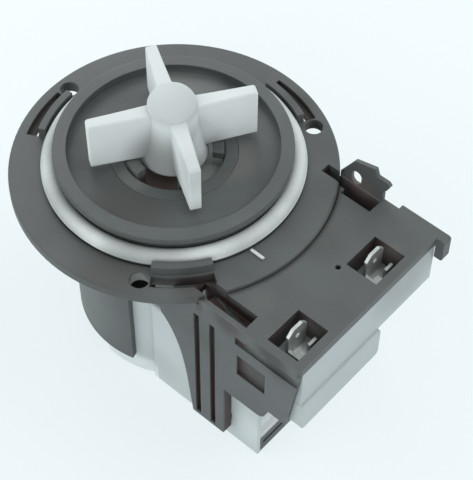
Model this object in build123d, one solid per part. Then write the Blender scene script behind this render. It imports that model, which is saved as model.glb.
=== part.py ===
"""Washer drain pump with a synchronous motor, millimetres.

The origin is the centre of the mounting flange's top face, on the rotor axis. +Z points out of the
impeller, +X from the rotor towards the coils and terminals.
"""
import os
from math import cos, sin, radians, degrees, sqrt, acos
from build123d import *

os.makedirs("parts", exist_ok=True)

# Clearances
PRESS_GAP = 0.02        # between pieces pressed together
RUN_GAP = 0.05          # radial, shaft in a bush
SEAT_GAP = 0.1          # between moulded pieces that seat on each other
FACE_GAP = 0.1          # between turning and standing faces
OVERRUN = 2.0           # how far a cutter passes the face that it cuts

# Mounting flange
FLANGE_LAND = 8.1       # from the seal ring to the flange's edge
FLANGE_T = 3.2
FLANGE_EDGE_R = 0.6
HOLE_EDGE = 4.15        # from the flange's edge to a hole's centre
HOLE_R = 2.35
HOLE_COUNT = 3
HOLE_FIRST_DEG = 60.0
LUG_TURN_DEG = 16.0     # from a screw hole to the middle of a bayonet lug
LUG_SPAN_DEG = 24.0
LUG_T = 1.8
LUG_H = 3.0
LUG_SEAL_GAP = 0.4
WINDOW_GAP = 0.3
WINDOW_W = 3.0
WINDOW_LEDGE_W = 1.4    # step in the outer wall of a lug's window
WINDOW_LEDGE_T = 1.4
INDEX_RIB_DEG = -14.2
INDEX_RIB_LENGTH = 4.1
INDEX_RIB_W = 0.7
INDEX_RIB_H = 0.6

# Plug that enters the filter housing
RIM_R = 28.9
RIM_TOP = 7.0
RIM_LIP_T = 2.0         # the rim overhangs the seal ring by this thick a lip
RIM_EDGE_R = 0.5
RIM_W = 3.3
PLUG_FLOOR_Z = 4.5
PLUG_FLOOR_T = 2.3
PLUG_WALL_T = 2.4
HEAD_RIB_COUNT = 8
HEAD_RIB_T = 1.5

# Seal ring in the corner of plug and flange
SEAL_R = 2.1
SEAL_SINK = 0.7         # how deep the ring lies in the flange's groove

# Rotor can
CAN_WALL = 1.4
CAN_EDGE_R = 1.2
CAN_BOSS_WALL = 2.1
REAR_BOSS_WALL = 1.4
REAR_BOSS_RIBS = 6
REAR_RIB_T = 1.0

# Front bearing cap
CAP_FLANGE_T = 1.5
CAP_SEAT_W = 1.5
CAP_WALL_T = 2.0
CAP_BOTTOM = -4.0
MOAT_WALL = 1.6
MOAT_GAP = 0.4          # between the posts and the moat's wall
MOAT_FLOOR_Z = 1.2
POST_COUNT = 5
POST_FIRST_DEG = 41.0
POST_SPAN_DEG = 22.0
POST_HUB_GAP = 1.1
POST_T = 2.6
POST_VANE_GAP = 0.4
CAP_BOSS_WALL = 2.1
CAP_RING_R = 0.9
CAP_RING_Z = -1.6
SHAFT_HOLE_R = 2.3
CAP_RING_EDGE_R = 0.22

# Shaft, bushes, seats, seals
SHAFT_R = 1.5
SHAFT_TOP = 18.4
SHAFT_CHAMFER = 0.3
BUSH_WALL = 1.95
BUSH_CHAMFER = 0.3
BUSH_LENGTH = 8.0
REAR_BUSH_LENGTH = 4.4
SEAT_WALL = 2.0
SEAT_STEP = 0.5         # how far a bush stands out of its rubber seat
SEAT_RIB_R = 0.35
SEAT_RIB_SHARES = (0.3, 0.7)
FRONT_SEAT_TOP = -5.2
LIP_SEAL_R = 4.6
LIP_SEAL_H = 3.0
LIP_T = 0.5
LIP_REACH = 1.5         # from the shaft to a lip's root
WASHER_R = 3.3
WASHER_T = 0.6

# Rotor
AIR_GAP = 0.8
MAGNET_BORE_R = 6.4
MAGNET_TOP = -27.0
MAGNET_CHAMFER = 0.6
CARRIER_FLANGE_R = 9.0
CARRIER_FLANGE_T = 1.6
CARRIER_NECK_R = 3.0
CARRIER_KEY_W = 2.4
CARRIER_KEY_H = 0.9

# Impeller and lost-motion coupling
VANE_COUNT = 4
VANE_FIRST_DEG = 57.5
VANE_R = 20.4
VANE_TOP = 20.0
VANE_BOTTOM = 6.3
VANE_TIP_T = 2.8
VANE_MID_T = 3.4
VANE_ROOT_T = 4.0
VANE_MID_SHARE = 0.4    # share of the vane's reach at which its root flare has died out
VANE_CORNER_R = 0.8
VANE_EDGE_R = 0.4
HUB_BASE_R = 8.3
HUB_BASE_Z = 4.4
HUB_NECK_R = 5.85
DOME_H = 4.9
HUB_WAIST_SHARE = 0.35  # share of the hub's height at which the flare ends
CAVITY_WALL = 0.55
CAVITY_TOP = 12.6
RETAINER_T = 1.3
RETAINER_SEAT_W = 0.7
RETAINER_BORE_GAP = 0.5
RETAINER_SLOTS = 3
RETAINER_SLOT_W = 1.0
DOG_HUB_R = 2.9
DOG_GAP = 0.3           # from the dog's end to the hollow's wall
DOG_SPAN_DEG = 46.0
STOP_SPAN_DEG = 46.0
BUMPER_SPAN_DEG = 15.0
DOG_REST_DEG = 237.5

# Iron core
CORE_TOP = -31.0
CORE_H = 20.0
CORE_GAP = 1.0          # from the poles to the moulding's arc walls
CORE_POLE_X = 12.5
POLE_SLOT_W = 3.0
POLE_BRIDGE_T = 1.0
POLE_STEP_DEG = 30.0
POLE_STEP_DEPTH = 0.5
LEG_W = 9.0
LEG_END_X = 37.3
YOKE_W = 9.6
RIVET_POLE_SHARE = 0.24
RIVET_HEAD_SHARE = 1.6
RIVET_HEAD_H = 0.9
POLE_RIVET_DEG = 125.0
LAMINATION_GROOVES = 4
LAMINATION_GROOVE = 0.25

# Coil moulding and what is in it
MOULD_LEG_GAP = 0.2     # between the moulding's sides and the cover's legs
MOULD_X0 = 12.0
MOULD_WALL = 1.2
MOULD_ARC_T = 1.3
MOULD_ARC_DEG = 96.0    # where the arc walls end, from +X
MOULD_ARC_LAP_DEG = 3.0
MOULD_EDGE_R = 1.0
BOBBIN_WALL = 0.9
BOBBIN_FLANGE_T = 1.0
BOBBIN_INNER_Y = 3.0    # from the middle to a bobbin's near side
BOBBIN_SIDE_GAP = 0.2
BOBBIN_END_GAP = 0.3
BOBBIN_FLANGE_Z = 15.0  # half height of a bobbin flange
WINDING_INSET = 0.6
LINK_R = 0.45
LEAD_R = 0.7
LEAD_BEND_R = 2.2
LEAD_INSET = 3.0        # from a bobbin's cheek to the lead's hole
KEEPER_GROOVE = 0.8

# Motor cover
PLATE_TOP = -1.2
PLATE_LAP = 0.3         # how far plate and deck overlap in height
PLATE_REACH = 13.8      # past the yoke
PLATE_Y = 25.5
PLATE_STEP_X = 48.8
PLATE_STEP_W = 1.4
PLATE_CORNER_R = 1.2
ARC_GAP = 0.2
DECK_LAP = 3.6          # past the skirt
DECK_T = 2.2
DECK_REACH = 5.0        # past the flange
SLOT_X0 = 28.2
SLOT_X1 = 44.2
SLOT_W = 4.1
SLOT_STEP_X = 35.4
SLOT_STEP = 1.4
WALL_T = 1.3
SKIRT_R = 26.4
SKIRT_T = 1.8
SKIRT_BOTTOM = -50.0
SKIRT_END_DEG = 74.0
LEG_X0 = 28.3
LEG_SPAN = 10.2
LEG_T = 2.9
LEG_BOTTOM = -52.0
GROOVE_NEAR_X = 30.2
GROOVE_FAR_X = 35.0
GROOVE_W = 1.7
GROOVE_DEPTH = 1.5
GROOVE_TOP = -8.0
GROOVE_OPEN = 1.0       # a groove ends this far above the leg's end
BARB_H = 2.4
BARB_DEPTH = 0.9
BARB_RISE = 2.6         # from the leg's end to the barb's lower edge
GUSSET_X = 16.5
GUSSET_SHARES = ((0.178, 0.294), (0.492, 0.396), (0.695, 0.52), (0.856, 0.7125))
SIDE_SLANT = 3.1
SIDE_FOOT_W = 6.1
TONGUE_DROP = 4.9
TONGUE_R = 2.9
RECESS_EDGE = 0.4       # from the tongue's side to the recess
RECESS_W = 8.6
RECESS_TOP = -12.4
RECESS_BOTTOM = -20.4
RECESS_WEB_T = 0.4      # the recess is blind, with a wall this thick behind it
BAND_X0 = 42.0
BAND_TOP = -5.0
BAND_H = 3.4
BAND_DEPTH = 0.7
EAR_X0 = 31.0
EAR_W = 15.2
EAR_TOP = 6.6           # at the end of the ear's slope
EAR_RISE = 1.7          # from there up to the step
EAR_STEP_W = 4.6
EAR_STEP = 2.2
EAR_TIP_H = 2.6
EAR_NECK_IN = 1.7       # from the ear's tip back to its neck
EAR_CUT = 0.8           # cut corners
EAR_T = 1.0
EAR_SLOPE = 4.6
EAR_HOLE_IN = 5.5
EAR_HOLE_Z = 1.1
EAR_HOLE_W = 2.9
EAR_HOLE_H = 4.4
CORNER_LUG_REACH = 2.4
CORNER_LUG_W = 2.6
CORNER_LUG_BOTTOM = -8.2
CORNER_LUG_R = 0.8
HOOK_DEGS = (25.0, 155.0, 205.0, 335.0)
HOOK_SKIRT_GAP = 2.4
HOOK_T = 1.8
HOOK_W = 5.0
HOOK_BARB = 0.9
HOOK_BARB_H = 1.6

# Terminal block, pockets and spade tabs
POCKET_INSET = 6.7      # from the plate's end to a pocket's middle
POCKET_SIDE_WALL = 0.7
BACK_POCKET_Y = 9.8
POCKET_DX = 8.8
POCKET_DY = 10.8
POCKET_DEPTH = 8.0
PIP_X = 48.9
PIP_Y = 2.5
PIP_R = 0.7
BLOCK_LEG_GAP = 1.5     # from the cover's legs to the block's foot
BLOCK_STEP_Y = 4.5
BLOCK_HIGH_Z = -16.3
BLOCK_LOW_Z = -26.5
BLOCK_LIP = 0.6
BLOCK_EDGE_R = 1.2
TAB_W = 6.3
TAB_T = 0.8
TAB_TOP = 0.6
TAB_BACK = 1.1          # blade's place behind the pocket's middle
TAB_SIDE = 0.8          # blade's place beside the pocket's middle
TAB_POINT = 1.6
TAB_HOLE_R = 0.8
TAB_ROOT_W = 3.6
TAB_ROOT_DEPTH = 6.0
TAB_FOOT_X = 3.6
HOOK_LUG_W = 2.6
HOOK_LUG_H = 4.6
CURL_W = 1.6
CURL_LIP = 2.4
CURL_H = 3.0

# Places that follow from the sizes above
flange_bottom = -FLANGE_T
groove_r = RIM_R - PLUG_WALL_T / 2
rim_in_r = RIM_R - RIM_W
seal_mid_r = groove_r + SEAL_R
seal_mid_z = SEAL_R - SEAL_SINK
seal_out_r = seal_mid_r + SEAL_R
flange_r = seal_out_r + FLANGE_LAND
hole_circle_r = flange_r - HOLE_EDGE
post_in_r = HUB_BASE_R + POST_HUB_GAP
post_out_r = post_in_r + POST_T
post_top = VANE_BOTTOM - POST_VANE_GAP
moat_r = post_out_r + MOAT_GAP
can_in_r = moat_r + MOAT_WALL
can_r = can_in_r + CAN_WALL
cap_seat_z = PLUG_FLOOR_Z - CAP_FLANGE_T
cap_seat_r = can_in_r + CAP_SEAT_W
core_bottom = CORE_TOP - CORE_H
core_mid_z = CORE_TOP - CORE_H / 2
mould_half_z = BOBBIN_FLANGE_Z + BOBBIN_END_GAP + MOULD_WALL
mould_top = core_mid_z + mould_half_z
mould_bottom = core_mid_z - mould_half_z
can_bottom = mould_bottom
can_floor = can_bottom + CAN_WALL
bush_r = SHAFT_R + RUN_GAP + BUSH_WALL
seat_r = bush_r + SEAT_WALL
front_seat_low = FRONT_SEAT_TOP - BUSH_LENGTH
front_bush_low = front_seat_low - SEAT_STEP
front_washer_top = front_bush_low - FACE_GAP
rear_bush_top = can_floor + SEAT_GAP + REAR_BUSH_LENGTH
rear_washer_low = rear_bush_top + FACE_GAP
carrier_low = rear_washer_low + WASHER_T + FACE_GAP
magnet_low = carrier_low + SEAT_GAP
magnet_r = can_in_r - AIR_GAP
carrier_top = front_washer_top - WASHER_T - FACE_GAP
cavity_r = HUB_NECK_R - CAVITY_WALL
retainer_r = cavity_r + RETAINER_SEAT_W
dog_r = cavity_r - DOG_GAP
stop_in_r = DOG_HUB_R + SEAT_GAP
wall_in_y = PLATE_Y - WALL_T
leg_x1 = LEG_X0 + LEG_SPAN
block_x0 = leg_x1 + BLOCK_LEG_GAP
leg_in_face = PLATE_Y - LEG_T
mould_y = leg_in_face - MOULD_LEG_GAP
mould_arc_r = SKIRT_R - SKIRT_T - SEAT_GAP
core_r = mould_arc_r - MOULD_ARC_T - CORE_GAP
core_bore_r = can_r + SEAT_GAP
rivet_r = (core_r - core_bore_r) * RIVET_POLE_SHARE
bobbin_half_y = (mould_y - MOULD_WALL - BOBBIN_SIDE_GAP - BOBBIN_INNER_Y) / 2
leg_y = BOBBIN_INNER_Y + bobbin_half_y
leg_in_y = leg_y - LEG_W / 2
leg_out_y = leg_y + LEG_W / 2
yoke_x0 = LEG_END_X + SEAT_GAP
yoke_x1 = yoke_x0 + YOKE_W
yoke_y = mould_y - MOULD_WALL - SEAT_GAP
bobbin_x0 = core_bore_r + MOULD_WALL + SEAT_GAP
bobbin_x1 = LEG_END_X - MOULD_WALL - SEAT_GAP
deck_top = flange_bottom - SEAT_GAP
deck_bottom = deck_top - DECK_T
deck_r = SKIRT_R + DECK_LAP
deck_end_x = flange_r + DECK_REACH
hook_r = SKIRT_R - SKIRT_T - HOOK_SKIRT_GAP - HOOK_BARB - HOOK_T
plate_bottom = deck_top - PLATE_LAP
plate_end_x = yoke_x1 + PLATE_REACH
plate_step_y = PLATE_Y + PLATE_STEP_W
slot_y0 = wall_in_y - SLOT_W
side_foot_x = plate_end_x - SIDE_SLANT
side_low_x = side_foot_x - SIDE_FOOT_W
side_mid_zs = (BLOCK_LOW_Z - SEAT_GAP, BLOCK_HIGH_Z - SEAT_GAP)
recess_x1 = side_low_x - RECESS_EDGE
recess_x0 = recess_x1 - RECESS_W
ear_x1 = EAR_X0 + EAR_W
ear_step_x = ear_x1 - EAR_STEP_W
ear_hole_x = EAR_X0 + EAR_HOLE_IN
ear_high = EAR_TOP + EAR_RISE
block_y = wall_in_y - SEAT_GAP
block_top = plate_bottom - SEAT_GAP
pocket_x = plate_end_x - POCKET_INSET
pocket_ys = (POCKET_SIDE_WALL + POCKET_DY / 2 - block_y, BACK_POCKET_Y)
pocket_floor = PLATE_TOP - POCKET_DEPTH
shroud_t = POCKET_SIDE_WALL + SEAT_GAP      # the cover's wall round a pocket, out to its side wall
sides = (-1, 1)


def at(x, y, z):
    return Location((x, y, z))


def span(x0, x1, y0, y1, z0, z1):
    """A block between two opposite corners."""
    size = (abs(x1 - x0), abs(y1 - y0), abs(z1 - z0))
    return at((x0 + x1) / 2, (y0 + y1) / 2, (z0 + z1) / 2) * Box(*size)


def rod(r, z0, z1, x=0, y=0):
    return at(x, y, (z0 + z1) / 2) * Cylinder(r, abs(z1 - z0))


def tube(r_out, r_in, z0, z1):
    return rod(r_out, z0, z1) - rod(r_in, z0 - OVERRUN, z1 + OVERRUN)


def polar(r, deg):
    return (r * cos(radians(deg)), r * sin(radians(deg)))


def sector(r_out, r_in, deg0, deg1, z0, z1):
    """A ring sector from deg0 to deg1, counter-clockwise."""
    mid = (deg0 + deg1) / 2
    outline = Polyline(polar(r_in, deg0), polar(r_out, deg0))
    outline += ThreePointArc(polar(r_out, deg0), polar(r_out, mid), polar(r_out, deg1))
    outline += Polyline(polar(r_out, deg1), polar(r_in, deg1))
    outline += ThreePointArc(polar(r_in, deg1), polar(r_in, mid), polar(r_in, deg0))
    return at(0, 0, min(z0, z1)) * extrude(make_face(outline), abs(z1 - z0))


def turned(outline):
    """A solid of revolution about Z from a closed (r, z) outline."""
    return revolve(Plane.XZ * make_face(outline), Axis.Z)


def turned_points(*points):
    return turned(Polyline(*points, close=True))


def side_profile(points_or_curve, y0, y1):
    """An (x, z) outline made into a plate between two Y values."""
    face = Plane.XZ * make_face(points_or_curve)
    low, high = min(y0, y1), max(y0, y1)
    return at(0, high, 0) * extrude(face, high - low)


def rims(shape, r):
    """The circular edges that are wider than a radius."""
    return [edge for edge in shape.edges().filter_by(GeomType.CIRCLE) if edge.radius > r]


def lug_degs():
    return [HOLE_FIRST_DEG + LUG_TURN_DEG + 360 / HOLE_COUNT * n for n in range(HOLE_COUNT)]


def pocket_cut(y, inset, z0, z1):
    half_x, half_y = POCKET_DX / 2 - inset, POCKET_DY / 2 - inset
    return span(pocket_x - half_x, pocket_x + half_x, y - half_y, y + half_y, z0, z1)


def slot_cut(side, z0, z1):
    """The opening beside each leg; the back one is narrower past a step."""
    low = slot_y0
    cut = span(SLOT_X0, SLOT_X1, side * low, side * wall_in_y, z0, z1)
    if side > 0:
        cut -= span(SLOT_X0 - OVERRUN, SLOT_STEP_X, low - OVERRUN, low + SLOT_STEP, z0 - OVERRUN,
                    z1 + OVERRUN)
    return cut


def pump_head():
    shape = tube(flange_r, RIM_R - PLUG_WALL_T * 2, flange_bottom, 0)
    shape = fillet(rims(shape, RIM_R), FLANGE_EDGE_R)
    shape -= tube(seal_out_r, groove_r, -SEAL_SINK, OVERRUN)
    under_floor = PLUG_FLOOR_Z - PLUG_FLOOR_T
    wall_in = groove_r - PLUG_WALL_T
    lip_low = RIM_TOP - RIM_LIP_T
    plug = rod(groove_r, flange_bottom, lip_low)
    rim = rod(RIM_R, lip_low, RIM_TOP)
    rim = fillet(rim.edges().group_by(Axis.Z)[-1], RIM_EDGE_R)
    plug += rim
    plug -= rod(rim_in_r, PLUG_FLOOR_Z, RIM_TOP + OVERRUN)
    plug -= rod(wall_in, flange_bottom - OVERRUN, under_floor)
    shape += plug
    rib_reach = (wall_in + can_r) / 2
    for n in range(HEAD_RIB_COUNT):
        rib = at(rib_reach, 0, (flange_bottom + under_floor) / 2) * Box(
            wall_in - can_r + SEAT_GAP, HEAD_RIB_T, under_floor - flange_bottom)
        shape += Rot(0, 0, 360 / HEAD_RIB_COUNT * (n + 1 / 2)) * rib
    can = rod(can_r, can_bottom, under_floor)
    can = fillet(can.edges().group_by(Axis.Z)[0], CAN_EDGE_R)
    shape += can + rod(can_r + CAN_BOSS_WALL, flange_bottom, under_floor)
    shape -= rod(can_in_r, can_floor, PLUG_FLOOR_Z + OVERRUN)
    shape -= rod(cap_seat_r, cap_seat_z, PLUG_FLOOR_Z + OVERRUN)
    boss_r = seat_r + SEAT_GAP + REAR_BOSS_WALL
    shape += tube(boss_r, seat_r + PRESS_GAP, can_floor - SEAT_GAP, rear_bush_top - SEAT_STEP)
    for n in range(REAR_BOSS_RIBS):
        rib = span(boss_r - SEAT_GAP, can_in_r + SEAT_GAP, -REAR_RIB_T / 2, REAR_RIB_T / 2,
                   can_floor - SEAT_GAP, can_floor + REAR_BUSH_LENGTH / 2)
        shape += Rot(0, 0, 360 / REAR_BOSS_RIBS * n) * rib
    lug_in = seal_out_r + LUG_SEAL_GAP
    window_in = lug_in + LUG_T + WINDOW_GAP
    for deg in lug_degs():
        ends = (deg - LUG_SPAN_DEG / 2, deg + LUG_SPAN_DEG / 2)
        shape += sector(lug_in + LUG_T, lug_in, *ends, -SEAT_GAP, LUG_H)
        shape -= sector(window_in + WINDOW_W, window_in, *ends, flange_bottom + WINDOW_LEDGE_T, OVERRUN)
        shape -= sector(window_in + WINDOW_W - WINDOW_LEDGE_W, window_in, *ends,
                        flange_bottom - OVERRUN, OVERRUN)
    for n in range(HOLE_COUNT):
        x, y = polar(hole_circle_r, HOLE_FIRST_DEG + 360 / HOLE_COUNT * n)
        shape -= rod(HOLE_R, flange_bottom - OVERRUN, OVERRUN, x, y)
    x, y = polar(lug_in, INDEX_RIB_DEG)
    shape += span(x, x + INDEX_RIB_LENGTH, y - INDEX_RIB_W / 2, y + INDEX_RIB_W / 2, -SEAT_GAP, INDEX_RIB_H)
    for side in sides:
        shape -= slot_cut(side, flange_bottom - OVERRUN, OVERRUN)
    for deg in HOOK_DEGS:
        barb_top = deck_bottom - SEAT_GAP
        hook_low = barb_top - HOOK_BARB_H
        stem = span(hook_r, hook_r + HOOK_T, -HOOK_W / 2, HOOK_W / 2, hook_low, under_floor)
        face = hook_r + HOOK_T
        outline = Polyline((face - SEAT_GAP, barb_top), (face + HOOK_BARB, barb_top), (face, hook_low),
                           (face - SEAT_GAP, hook_low), close=True)
        barb = side_profile(outline, -HOOK_W / 2, HOOK_W / 2)
        shape += Rot(0, 0, deg) * (stem + barb)
    return shape


def plug_seal():
    return at(0, 0, seal_mid_z) * Torus(seal_mid_r, SEAL_R - PRESS_GAP)


def front_bearing_cap():
    r_body = can_in_r - PRESS_GAP
    shape = rod(cap_seat_r - SEAT_GAP, cap_seat_z, PLUG_FLOOR_Z) + rod(r_body, CAP_BOTTOM, cap_seat_z)
    shape -= rod(moat_r, MOAT_FLOOR_Z, PLUG_FLOOR_Z + OVERRUN)
    boss_r = seat_r + CAP_BOSS_WALL
    shape -= tube(r_body - CAP_WALL_T, boss_r, CAP_BOTTOM - OVERRUN, MOAT_FLOOR_Z - CAP_WALL_T)
    shape += rod(boss_r, front_seat_low, CAP_BOTTOM + SEAT_GAP)
    for n in range(POST_COUNT):
        mid = POST_FIRST_DEG + 360 / POST_COUNT * n
        post = sector(post_out_r, post_in_r, mid - POST_SPAN_DEG / 2, mid + POST_SPAN_DEG / 2,
                      MOAT_FLOOR_Z - SEAT_GAP, post_top)
        shape += post
    shape -= rod(seat_r + PRESS_GAP, front_seat_low - OVERRUN, FRONT_SEAT_TOP + SEAT_GAP)
    shape -= rod(SHAFT_HOLE_R, FRONT_SEAT_TOP - OVERRUN, PLUG_FLOOR_Z)
    shape -= rod(LIP_SEAL_R + PRESS_GAP, MOAT_FLOOR_Z - LIP_SEAL_H, MOAT_FLOOR_Z + OVERRUN)
    ring_groove = turned(Polyline((r_body - CAP_RING_R, CAP_RING_Z - CAP_RING_R),
                                  (r_body + OVERRUN, CAP_RING_Z - CAP_RING_R),
                                  (r_body + OVERRUN, CAP_RING_Z + CAP_RING_R),
                                  (r_body - CAP_RING_R, CAP_RING_Z + CAP_RING_R), close=True))
    return shape - ring_groove


def cap_ring():
    """The O-ring, drawn as squeezed flat between groove and can."""
    r0 = can_in_r - PRESS_GAP - CAP_RING_R
    ring = tube(can_in_r - PRESS_GAP, r0 + PRESS_GAP, CAP_RING_Z - CAP_RING_R + SEAT_GAP,
                CAP_RING_Z + CAP_RING_R - SEAT_GAP)
    return fillet(ring.edges(), CAP_RING_EDGE_R)


def shaft_seal():
    """A lip seal: outer band, web and two lips that just clear the shaft."""
    z0, z1 = MOAT_FLOOR_Z - LIP_SEAL_H + SEAT_GAP, MOAT_FLOOR_Z
    lip_r = SHAFT_R + RUN_GAP / 2
    root_r = SHAFT_R + LIP_REACH
    body = tube(LIP_SEAL_R, root_r - LIP_T, z0, z1)
    body -= tube(LIP_SEAL_R - LIP_T, root_r + LIP_T, z0 - OVERRUN, z1 - LIP_T)
    upper = turned_points((lip_r, z1), (root_r, z1 - LIP_T * 2), (root_r, z1 - LIP_T),
                          (lip_r + LIP_T, z1 + LIP_T / 2))
    lower = turned_points((lip_r, z0 + LIP_T), (root_r, z0 + LIP_T), (root_r, z0 + LIP_T * 2),
                          (lip_r, z0 + LIP_T * 2))
    return body + upper + lower


def bush(z0, z1):
    body = tube(bush_r - PRESS_GAP, SHAFT_R + RUN_GAP, z0, z1)
    return chamfer(body.edges().filter_by(GeomType.CIRCLE), BUSH_CHAMFER)


def bush_seat(z0, z1):
    """A rubber sleeve with two grip ribs round the outside, drawn as pressed in its boss."""
    body = tube(seat_r, bush_r, z0, z1)
    for share in SEAT_RIB_SHARES:
        z = z0 + (z1 - z0) * share
        body -= tube(seat_r + OVERRUN, seat_r - SEAT_RIB_R, z - SEAT_RIB_R, z + SEAT_RIB_R)
    return body


def washer(z0):
    return tube(WASHER_R, SHAFT_R + RUN_GAP, z0, z0 + WASHER_T)


def rotor_shaft():
    shaft = rod(SHAFT_R, can_floor + SEAT_GAP, SHAFT_TOP)
    return chamfer(shaft.edges().filter_by(GeomType.CIRCLE), SHAFT_CHAMFER)


def magnet_key(r, width, z0, z1, side):
    """One of the two keys between magnet and carrier, also used as its keyway."""
    key = span(CARRIER_NECK_R, r, -width / 2, width / 2, z0, z1)
    return key if side > 0 else Rot(0, 0, 180) * key


def rotor_magnet():
    ring = tube(magnet_r, MAGNET_BORE_R, magnet_low, MAGNET_TOP)
    ring = chamfer(rims(ring, MAGNET_BORE_R), MAGNET_CHAMFER)
    for side in sides:
        ring -= magnet_key(MAGNET_BORE_R + CARRIER_KEY_H + PRESS_GAP, CARRIER_KEY_W + PRESS_GAP * 2,
                           magnet_low - OVERRUN, MAGNET_TOP + OVERRUN, side)
    return ring


def magnet_carrier():
    """Plastic core between shaft and magnet, with two keys, a top flange and a neck to the washer."""
    core_r = MAGNET_BORE_R - PRESS_GAP
    top = MAGNET_TOP + CARRIER_FLANGE_T
    shape = rod(core_r, carrier_low, top) + rod(CARRIER_FLANGE_R, MAGNET_TOP + PRESS_GAP, top)
    shape += turned_points((0, top - SEAT_GAP), (core_r, top - SEAT_GAP),
                           (CARRIER_NECK_R, top + core_r - CARRIER_NECK_R),
                           (CARRIER_NECK_R, carrier_top), (0, carrier_top))
    for side in sides:
        shape += magnet_key(core_r + CARRIER_KEY_H, CARRIER_KEY_W, magnet_low + SEAT_GAP,
                            MAGNET_TOP + SEAT_GAP, side)
    return shape - rod(SHAFT_R, carrier_low - OVERRUN, carrier_top + OVERRUN)


def drive_dog():
    """The shaft's driver: one tooth that pushes the impeller round only after a free swing."""
    z0, z1 = HUB_BASE_Z + RETAINER_T + FACE_GAP * 2, CAVITY_TOP - FACE_GAP * 2
    half = DOG_SPAN_DEG / 2
    shape = rod(DOG_HUB_R, z0, z1)
    shape += sector(dog_r, DOG_HUB_R - SEAT_GAP, DOG_REST_DEG - half, DOG_REST_DEG + half, z0, z1)
    return shape - rod(SHAFT_R, z0 - OVERRUN, z1 + OVERRUN)


def hub_outline():
    waist_z = HUB_BASE_Z + (VANE_TOP - HUB_BASE_Z) * HUB_WAIST_SHARE
    waist_r = HUB_NECK_R + (HUB_BASE_R - HUB_NECK_R) * HUB_WAIST_SHARE
    top = VANE_TOP + DOME_H
    crown = (HUB_NECK_R * sqrt(1 / 2), VANE_TOP + DOME_H * sqrt(1 / 2))
    curve = Polyline((0, HUB_BASE_Z), (HUB_BASE_R, HUB_BASE_Z))
    curve += Spline((HUB_BASE_R, HUB_BASE_Z), (waist_r, waist_z), (HUB_NECK_R, VANE_TOP),
                    tangents=[(-1, 2), (0, 1)])
    curve += Spline((HUB_NECK_R, VANE_TOP), crown, (0, top), tangents=[(0, 1), (-1, 0)])
    curve += Line((0, top), (0, HUB_BASE_Z))
    return curve


def vane():
    """One straight vane along +X, flared towards the hub, with rounded edges and outer top corner."""
    root_r = HUB_NECK_R - CAVITY_WALL
    mid_r = root_r + (VANE_R - root_r) * VANE_MID_SHARE
    plan = Line((0, VANE_ROOT_T / 2), (root_r, VANE_ROOT_T / 2))
    plan += Spline((root_r, VANE_ROOT_T / 2), (mid_r, VANE_MID_T / 2), (VANE_R, VANE_TIP_T / 2))
    plan += Line((VANE_R, VANE_TIP_T / 2), (VANE_R, 0))
    plan += Polyline((VANE_R, 0), (0, 0), (0, VANE_ROOT_T / 2))
    half = extrude(make_face(plan), VANE_TOP - VANE_BOTTOM)
    plate = at(0, 0, VANE_BOTTOM) * (half + mirror(half, Plane.XZ))
    corner = plate.edges().filter_by(Axis.Y).group_by(Axis.X)[-1].sort_by(Axis.Z)[-1]
    plate = fillet(corner, VANE_CORNER_R)
    ends = plate.faces().group_by(Axis.X)[-1].edges().filter_by(Axis.Z)
    return fillet(ends, VANE_EDGE_R)


def impeller():
    shape = turned(hub_outline())
    for n in range(VANE_COUNT):
        shape += Rot(0, 0, VANE_FIRST_DEG + 360 / VANE_COUNT * n) * vane()
    shape -= rod(cavity_r, HUB_BASE_Z - OVERRUN, CAVITY_TOP)
    stop_deg, half = DOG_REST_DEG - 180, STOP_SPAN_DEG / 2
    shape += sector(cavity_r + SEAT_GAP, stop_in_r, stop_deg - half, stop_deg + half,
                    HUB_BASE_Z + RETAINER_T, CAVITY_TOP + SEAT_GAP)
    shape -= rod(retainer_r, HUB_BASE_Z - OVERRUN, HUB_BASE_Z + RETAINER_T)
    return shape - rod(SHAFT_R + RUN_GAP, HUB_BASE_Z - OVERRUN, SHAFT_TOP + FACE_GAP)


def impeller_retainer():
    """The ring that closes the hub under the driver, with snap slots in its outer edge."""
    ring = tube(retainer_r - PRESS_GAP, DOG_HUB_R + RETAINER_BORE_GAP, HUB_BASE_Z, HUB_BASE_Z + RETAINER_T)
    for n in range(RETAINER_SLOTS):
        half = RETAINER_SLOT_W / 2
        notch = span(retainer_r - RETAINER_SLOT_W, retainer_r + OVERRUN, -half, half,
                     HUB_BASE_Z - OVERRUN, HUB_BASE_Z + RETAINER_T + OVERRUN)
        ring -= Rot(0, 0, 360 / RETAINER_SLOTS * n) * notch
    return ring


def stop_bumpers():
    """A rubber pad on each flank of the impeller's stop."""
    stop_deg = DOG_REST_DEG - 180
    pads = []
    for side in sides:
        near = stop_deg + side * STOP_SPAN_DEG / 2
        far = near + side * BUMPER_SPAN_DEG
        pads.append(sector(cavity_r - PRESS_GAP, stop_in_r, min(near, far), max(near, far),
                           HUB_BASE_Z + RETAINER_T + PRESS_GAP, CAVITY_TOP - PRESS_GAP))
    return Compound(pads)


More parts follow.
